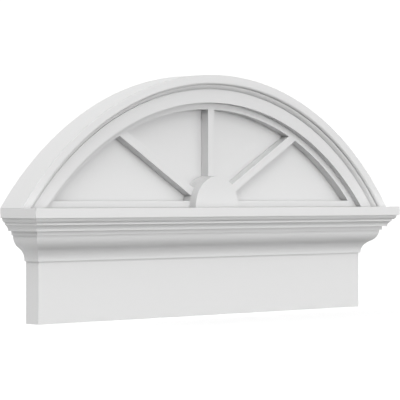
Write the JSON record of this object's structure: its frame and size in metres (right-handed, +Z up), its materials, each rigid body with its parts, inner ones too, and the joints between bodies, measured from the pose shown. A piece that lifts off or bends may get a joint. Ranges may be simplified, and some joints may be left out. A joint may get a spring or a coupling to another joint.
{
  "type": "door pediment",
  "caption": "White segmental-arch door pediment with a sunburst panel over a flat cap, crown moulding and plain frieze board, fixed to the wall above a door.",
  "frame": {"origin": "middle of the frieze board's underside, halfway between the wall plane and the board's front", "axes": "+X along the wall, to the right for someone facing the pediment; -Y out from the wall, +Y into it; +Z up"},
  "size_m": [1.2194, 0.1127, 0.5525],
  "materials": {
    "boards": "white painted board, eggshell",
    "mouldings": "white painted moulding, satin"
  },
  "bodies": {
    "root": {"frieze_board": "boards", "cornice_cap": "boards", "tympanum_panel": "boards", "sunburst_board": "boards", "sunburst_hub": "boards", "arch_band": "boards", "crown_front": "mouldings", "crown_return_left": "mouldings", "crown_return_right": "mouldings", "arch_moulding": "mouldings"}
  },
  "joints": []
}
